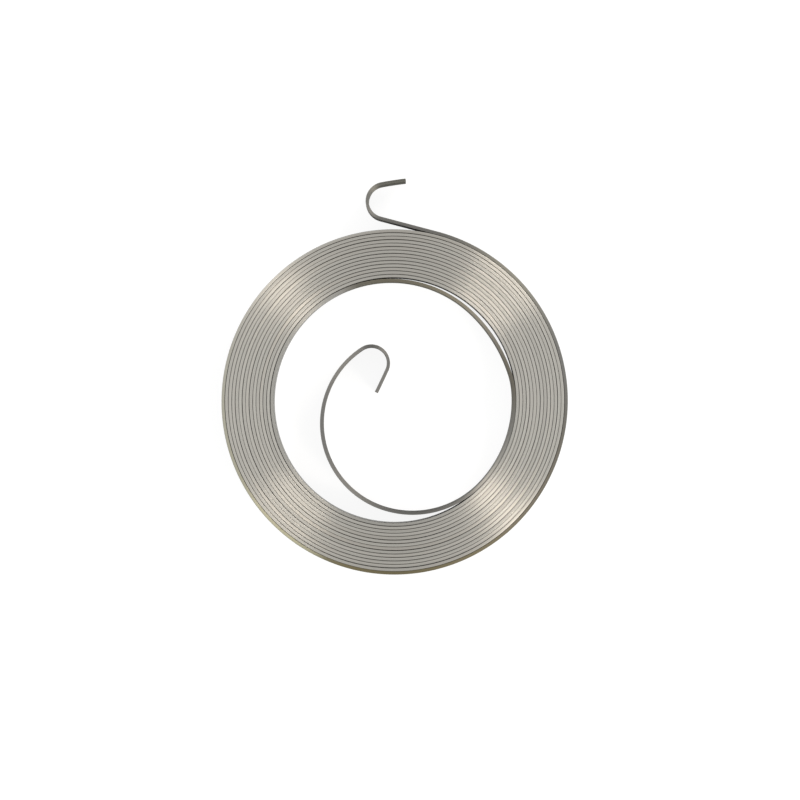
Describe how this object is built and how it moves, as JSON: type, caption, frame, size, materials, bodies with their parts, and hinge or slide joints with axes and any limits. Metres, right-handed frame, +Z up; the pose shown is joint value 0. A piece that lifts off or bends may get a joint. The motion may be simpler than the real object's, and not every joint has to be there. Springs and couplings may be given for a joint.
{
  "type": "recoil starter spring",
  "caption": "Flat strip-steel spring wound into a round pack of close turns, with an inner tail hooked for a starter reel and an outer hook for its housing.",
  "frame": {"origin": "on the winding axis of the coil, in the plane of the strip's lower edge", "axes": "+Z up along the winding axis, +Y towards the outer hook, +X to the right as seen from above"},
  "size_m": [0.0659, 0.0754, 0.008],
  "materials": {
    "spring_steel": "bright rolled spring strip with dressed edges, grey oxide and a faint brown tint on the heat-treated ends"
  },
  "bodies": {
    "root": {"recoil_spring": "spring_steel"}
  },
  "joints": []
}
